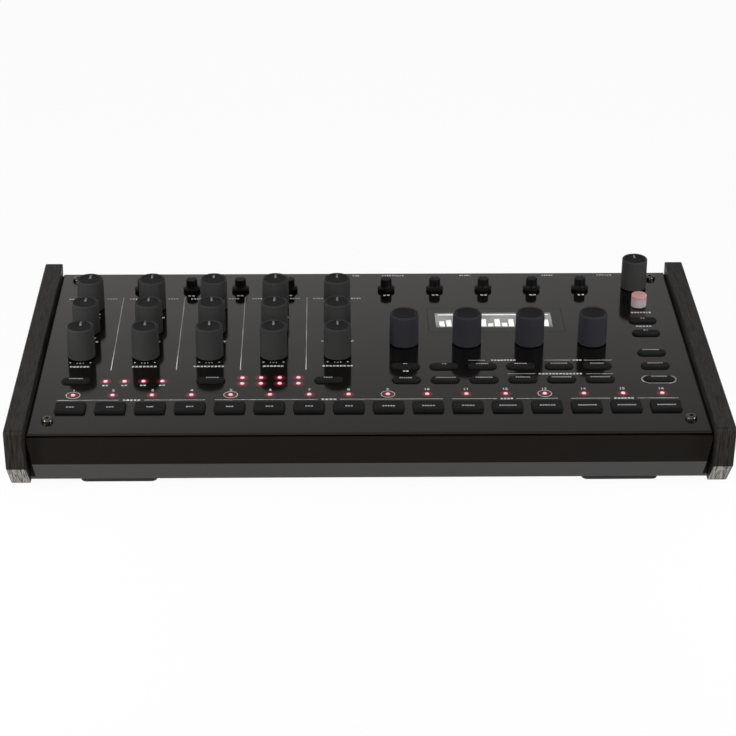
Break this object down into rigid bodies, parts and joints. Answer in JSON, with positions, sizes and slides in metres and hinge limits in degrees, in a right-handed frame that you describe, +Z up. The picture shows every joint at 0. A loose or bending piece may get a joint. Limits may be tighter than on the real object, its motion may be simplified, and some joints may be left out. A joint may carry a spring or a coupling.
{
  "type": "drum machine",
  "caption": "Tabletop drum machine with sound knobs, display encoders, level knobs, step keys, a flush display and black wooden cheeks.",
  "frame": {"origin": "under the middle of the machine, on the surface that its feet stand on", "axes": "+X to the player's right, +Y to the rear sockets, +Z up"},
  "size_m": [0.4846, 0.268, 0.0808],
  "materials": {
    "panel_metal": "satin",
    "case_plastic": "semi gloss",
    "cheek_wood": "black stained, open grain",
    "display_window": "gloss",
    "board": "solder mask",
    "socket_plastic": "moulded",
    "led_lens": "diffused",
    "screw_steel": "black zinc",
    "foot_rubber": "matte",
    "knob_rubber": "soft touch",
    "encoder_rubber": "soft touch",
    "level_plastic": "moulded",
    "clear_plastic": "clear, lit",
    "key_rubber": "matte"
  },
  "bodies": {
    "root": {"top_panel": "panel_metal", "bottom_case": "case_plastic", "left_cheek": "cheek_wood", "right_cheek": "cheek_wood", "display_unit": "display_window", "circuit_boards": "board", "rear_sockets": "socket_plastic", "indicator_leds": "led_lens", "fasteners": "screw_steel", "rubber_feet": "foot_rubber"},
    "sound_knob_01": {"sound_knob_01": "knob_rubber"},
    "sound_knob_02": {"sound_knob_02": "knob_rubber"},
    "sound_knob_03": {"sound_knob_03": "knob_rubber"},
    "sound_knob_04": {"sound_knob_04": "knob_rubber"},
    "sound_knob_05": {"sound_knob_05": "knob_rubber"},
    "sound_knob_06": {"sound_knob_06": "knob_rubber"},
    "sound_knob_07": {"sound_knob_07": "knob_rubber"},
    "sound_knob_08": {"sound_knob_08": "knob_rubber"},
    "sound_knob_09": {"sound_knob_09": "knob_rubber"},
    "sound_knob_10": {"sound_knob_10": "knob_rubber"},
    "sound_knob_11": {"sound_knob_11": "knob_rubber"},
    "sound_knob_12": {"sound_knob_12": "knob_rubber"},
    "sound_knob_13": {"sound_knob_13": "knob_rubber"},
    "sound_knob_14": {"sound_knob_14": "knob_rubber"},
    "sound_knob_15": {"sound_knob_15": "knob_rubber"},
    "display_encoder_1": {"display_encoder_1": "encoder_rubber"},
    "display_encoder_2": {"display_encoder_2": "encoder_rubber"},
    "display_encoder_3": {"display_encoder_3": "encoder_rubber"},
    "display_encoder_4": {"display_encoder_4": "encoder_rubber"},
    "level_knob_01": {"level_knob_01": "level_plastic"},
    "level_knob_02": {"level_knob_02": "level_plastic"},
    "level_knob_03": {"level_knob_03": "level_plastic"},
    "level_knob_04": {"level_knob_04": "level_plastic"},
    "level_knob_05": {"level_knob_05": "level_plastic"},
    "level_knob_06": {"level_knob_06": "level_plastic"},
    "level_knob_07": {"level_knob_07": "level_plastic"},
    "level_knob_08": {"level_knob_08": "level_plastic"},
    "level_knob_09": {"level_knob_09": "level_plastic"},
    "level_knob_10": {"level_knob_10": "level_plastic"},
    "level_knob_11": {"level_knob_11": "level_plastic"},
    "volume_knob": {"volume_knob": "knob_rubber"},
    "tempo_knob": {"tempo_knob": "clear_plastic"},
    "step_key_01": {"step_key_01": "key_rubber"},
    "step_key_02": {"step_key_02": "key_rubber"},
    "step_key_03": {"step_key_03": "key_rubber"},
    "step_key_04": {"step_key_04": "key_rubber"},
    "step_key_05": {"step_key_05": "key_rubber"},
    "step_key_06": {"step_key_06": "key_rubber"},
    "step_key_07": {"step_key_07": "key_rubber"},
    "step_key_08": {"step_key_08": "key_rubber"},
    "step_key_09": {"step_key_09": "key_rubber"},
    "step_key_10": {"step_key_10": "key_rubber"},
    "step_key_11": {"step_key_11": "key_rubber"},
    "step_key_12": {"step_key_12": "key_rubber"},
    "step_key_13": {"step_key_13": "key_rubber"},
    "step_key_14": {"step_key_14": "key_rubber"},
    "step_key_15": {"step_key_15": "key_rubber"},
    "step_key_16": {"step_key_16": "key_rubber"},
    "small_keys": {"small_keys": "key_rubber"},
    "power_button": {"power_button": "key_rubber"}
  },
  "joints": [
    {"name": "sound_knob_01_turn", "type": "hinge", "parent": "root", "child": "sound_knob_01", "pos_m": [-0.202, 0.07063, 0.05468], "axis": [0, -0.0523, 0.9986], "range_deg": [-150, 150]},
    {"name": "sound_knob_02_turn", "type": "hinge", "parent": "root", "child": "sound_knob_02", "pos_m": [-0.1568, 0.07063, 0.05468], "axis": [0, -0.0523, 0.9986], "range_deg": [-150, 150]},
    {"name": "sound_knob_03_turn", "type": "hinge", "parent": "root", "child": "sound_knob_03", "pos_m": [-0.1116, 0.07063, 0.05468], "axis": [0, -0.0523, 0.9986], "range_deg": [-150, 150]},
    {"name": "sound_knob_04_turn", "type": "hinge", "parent": "root", "child": "sound_knob_04", "pos_m": [-0.0664, 0.07063, 0.05468], "axis": [0, -0.0523, 0.9986], "range_deg": [-150, 150]},
    {"name": "sound_knob_05_turn", "type": "hinge", "parent": "root", "child": "sound_knob_05", "pos_m": [-0.0212, 0.07063, 0.05468], "axis": [0, -0.0523, 0.9986], "range_deg": [-150, 150]},
    {"name": "sound_knob_06_turn", "type": "hinge", "parent": "root", "child": "sound_knob_06", "pos_m": [-0.202, 0.03109, 0.05261], "axis": [0, -0.0523, 0.9986], "range_deg": [-150, 150]},
    {"name": "sound_knob_07_turn", "type": "hinge", "parent": "root", "child": "sound_knob_07", "pos_m": [-0.1568, 0.03109, 0.05261], "axis": [0, -0.0523, 0.9986], "range_deg": [-150, 150]},
    {"name": "sound_knob_08_turn", "type": "hinge", "parent": "root", "child": "sound_knob_08", "pos_m": [-0.1116, 0.03109, 0.05261], "axis": [0, -0.0523, 0.9986], "range_deg": [-150, 150]},
    {"name": "sound_knob_09_turn", "type": "hinge", "parent": "root", "child": "sound_knob_09", "pos_m": [-0.0664, 0.03109, 0.05261], "axis": [0, -0.0523, 0.9986], "range_deg": [-150, 150]},
    {"name": "sound_knob_10_turn", "type": "hinge", "parent": "root", "child": "sound_knob_10", "pos_m": [-0.0212, 0.03109, 0.05261], "axis": [0, -0.0523, 0.9986], "range_deg": [-150, 150]},
    {"name": "sound_knob_11_turn", "type": "hinge", "parent": "root", "child": "sound_knob_11", "pos_m": [-0.202, -0.00846, 0.05054], "axis": [0, -0.0523, 0.9986], "range_deg": [-150, 150]},
    {"name": "sound_knob_12_turn", "type": "hinge", "parent": "root", "child": "sound_knob_12", "pos_m": [-0.1568, -0.00846, 0.05054], "axis": [0, -0.0523, 0.9986], "range_deg": [-150, 150]},
    {"name": "sound_knob_13_turn", "type": "hinge", "parent": "root", "child": "sound_knob_13", "pos_m": [-0.1116, -0.00846, 0.05054], "axis": [0, -0.0523, 0.9986], "range_deg": [-150, 150]},
    {"name": "sound_knob_14_turn", "type": "hinge", "parent": "root", "child": "sound_knob_14", "pos_m": [-0.0664, -0.00846, 0.05054], "axis": [0, -0.0523, 0.9986], "range_deg": [-150, 150]},
    {"name": "sound_knob_15_turn", "type": "hinge", "parent": "root", "child": "sound_knob_15", "pos_m": [-0.0212, -0.00846, 0.05054], "axis": [0, -0.0523, 0.9986], "range_deg": [-150, 150]},
    {"name": "display_encoder_1_turn", "type": "hinge", "parent": "root", "child": "display_encoder_1", "pos_m": [0.0264, 0.01111, 0.05156], "axis": [0, -0.0523, 0.9986], "continuous": true},
    {"name": "display_encoder_2_turn", "type": "hinge", "parent": "root", "child": "display_encoder_2", "pos_m": [0.0713, 0.01111, 0.05156], "axis": [0, -0.0523, 0.9986], "continuous": true},
    {"name": "display_encoder_3_turn", "type": "hinge", "parent": "root", "child": "display_encoder_3", "pos_m": [0.1162, 0.01111, 0.05156], "axis": [0, -0.0523, 0.9986], "continuous": true},
    {"name": "display_encoder_4_turn", "type": "hinge", "parent": "root", "child": "display_encoder_4", "pos_m": [0.1611, 0.01111, 0.05156], "axis": [0, -0.0523, 0.9986], "continuous": true},
    {"name": "level_knob_01_turn", "type": "hinge", "parent": "root", "child": "level_knob_01", "pos_m": [-0.2022, 0.10099, 0.05628], "axis": [0, -0.0523, 0.9986], "range_deg": [-150, 150]},
    {"name": "level_knob_02_turn", "type": "hinge", "parent": "root", "child": "level_knob_02", "pos_m": [-0.16587, 0.10099, 0.05628], "axis": [0, -0.0523, 0.9986], "range_deg": [-150, 150]},
    {"name": "level_knob_03_turn", "type": "hinge", "parent": "root", "child": "level_knob_03", "pos_m": [-0.12954, 0.10099, 0.05628], "axis": [0, -0.0523, 0.9986], "range_deg": [-150, 150]},
    {"name": "level_knob_04_turn", "type": "hinge", "parent": "root", "child": "level_knob_04", "pos_m": [-0.09321, 0.10099, 0.05628], "axis": [0, -0.0523, 0.9986], "range_deg": [-150, 150]},
    {"name": "level_knob_05_turn", "type": "hinge", "parent": "root", "child": "level_knob_05", "pos_m": [-0.05688, 0.10099, 0.05628], "axis": [0, -0.0523, 0.9986], "range_deg": [-150, 150]},
    {"name": "level_knob_06_turn", "type": "hinge", "parent": "root", "child": "level_knob_06", "pos_m": [-0.02055, 0.10099, 0.05628], "axis": [0, -0.0523, 0.9986], "range_deg": [-150, 150]},
    {"name": "level_knob_07_turn", "type": "hinge", "parent": "root", "child": "level_knob_07", "pos_m": [0.01578, 0.10099, 0.05628], "axis": [0, -0.0523, 0.9986], "range_deg": [-150, 150]},
    {"name": "level_knob_08_turn", "type": "hinge", "parent": "root", "child": "level_knob_08", "pos_m": [0.05211, 0.10099, 0.05628], "axis": [0, -0.0523, 0.9986], "range_deg": [-150, 150]},
    {"name": "level_knob_09_turn", "type": "hinge", "parent": "root", "child": "level_knob_09", "pos_m": [0.08844, 0.10099, 0.05628], "axis": [0, -0.0523, 0.9986], "range_deg": [-150, 150]},
    {"name": "level_knob_10_turn", "type": "hinge", "parent": "root", "child": "level_knob_10", "pos_m": [0.12477, 0.10099, 0.05628], "axis": [0, -0.0523, 0.9986], "range_deg": [-150, 150]},
    {"name": "level_knob_11_turn", "type": "hinge", "parent": "root", "child": "level_knob_11", "pos_m": [0.1611, 0.10099, 0.05628], "axis": [0, -0.0523, 0.9986], "range_deg": [-150, 150]},
    {"name": "volume_knob_turn", "type": "hinge", "parent": "root", "child": "volume_knob", "pos_m": [0.2018, 0.10399, 0.05643], "axis": [0, -0.0523, 0.9986], "range_deg": [-150, 150]},
    {"name": "tempo_knob_turn", "type": "hinge", "parent": "root", "child": "tempo_knob", "pos_m": [0.2018, 0.07053, 0.05468], "axis": [0, -0.0523, 0.9986], "range_deg": [-150, 150]},
    {"name": "step_key_01_press", "type": "slide", "parent": "root", "child": "step_key_01", "axis": [0, 0.0523, -0.9986], "range_m": [0, 0.0008], "stiffness_N_per_m": 400, "springref_m": -0.0005},
    {"name": "step_key_02_press", "type": "slide", "parent": "root", "child": "step_key_02", "axis": [0, 0.0523, -0.9986], "range_m": [0, 0.0008], "stiffness_N_per_m": 400, "springref_m": -0.0005},
    {"name": "step_key_03_press", "type": "slide", "parent": "root", "child": "step_key_03", "axis": [0, 0.0523, -0.9986], "range_m": [0, 0.0008], "stiffness_N_per_m": 400, "springref_m": -0.0005},
    {"name": "step_key_04_press", "type": "slide", "parent": "root", "child": "step_key_04", "axis": [0, 0.0523, -0.9986], "range_m": [0, 0.0008], "stiffness_N_per_m": 400, "springref_m": -0.0005},
    {"name": "step_key_05_press", "type": "slide", "parent": "root", "child": "step_key_05", "axis": [0, 0.0523, -0.9986], "range_m": [0, 0.0008], "stiffness_N_per_m": 400, "springref_m": -0.0005},
    {"name": "step_key_06_press", "type": "slide", "parent": "root", "child": "step_key_06", "axis": [0, 0.0523, -0.9986], "range_m": [0, 0.0008], "stiffness_N_per_m": 400, "springref_m": -0.0005},
    {"name": "step_key_07_press", "type": "slide", "parent": "root", "child": "step_key_07", "axis": [0, 0.0523, -0.9986], "range_m": [0, 0.0008], "stiffness_N_per_m": 400, "springref_m": -0.0005},
    {"name": "step_key_08_press", "type": "slide", "parent": "root", "child": "step_key_08", "axis": [0, 0.0523, -0.9986], "range_m": [0, 0.0008], "stiffness_N_per_m": 400, "springref_m": -0.0005},
    {"name": "step_key_09_press", "type": "slide", "parent": "root", "child": "step_key_09", "axis": [0, 0.0523, -0.9986], "range_m": [0, 0.0008], "stiffness_N_per_m": 400, "springref_m": -0.0005},
    {"name": "step_key_10_press", "type": "slide", "parent": "root", "child": "step_key_10", "axis": [0, 0.0523, -0.9986], "range_m": [0, 0.0008], "stiffness_N_per_m": 400, "springref_m": -0.0005},
    {"name": "step_key_11_press", "type": "slide", "parent": "root", "child": "step_key_11", "axis": [0, 0.0523, -0.9986], "range_m": [0, 0.0008], "stiffness_N_per_m": 400, "springref_m": -0.0005},
    {"name": "step_key_12_press", "type": "slide", "parent": "root", "child": "step_key_12", "axis": [0, 0.0523, -0.9986], "range_m": [0, 0.0008], "stiffness_N_per_m": 400, "springref_m": -0.0005},
    {"name": "step_key_13_press", "type": "slide", "parent": "root", "child": "step_key_13", "axis": [0, 0.0523, -0.9986], "range_m": [0, 0.0008], "stiffness_N_per_m": 400, "springref_m": -0.0005},
    {"name": "step_key_14_press", "type": "slide", "parent": "root", "child": "step_key_14", "axis": [0, 0.0523, -0.9986], "range_m": [0, 0.0008], "stiffness_N_per_m": 400, "springref_m": -0.0005},
    {"name": "step_key_15_press", "type": "slide", "parent": "root", "child": "step_key_15", "axis": [0, 0.0523, -0.9986], "range_m": [0, 0.0008], "stiffness_N_per_m": 400, "springref_m": -0.0005},
    {"name": "step_key_16_press", "type": "slide", "parent": "root", "child": "step_key_16", "axis": [0, 0.0523, -0.9986], "range_m": [0, 0.0008], "stiffness_N_per_m": 400, "springref_m": -0.0005},
    {"name": "small_keys_press", "type": "slide", "parent": "root", "child": "small_keys", "axis": [0, 0.0523, -0.9986], "range_m": [0, 0.0008], "stiffness_N_per_m": 1500, "springref_m": -0.0005},
    {"name": "power_button_press", "type": "slide", "parent": "root", "child": "power_button", "axis": [0, -1, 0], "range_m": [0, 0.0015], "stiffness_N_per_m": 400, "springref_m": -0.0005}
  ]
}
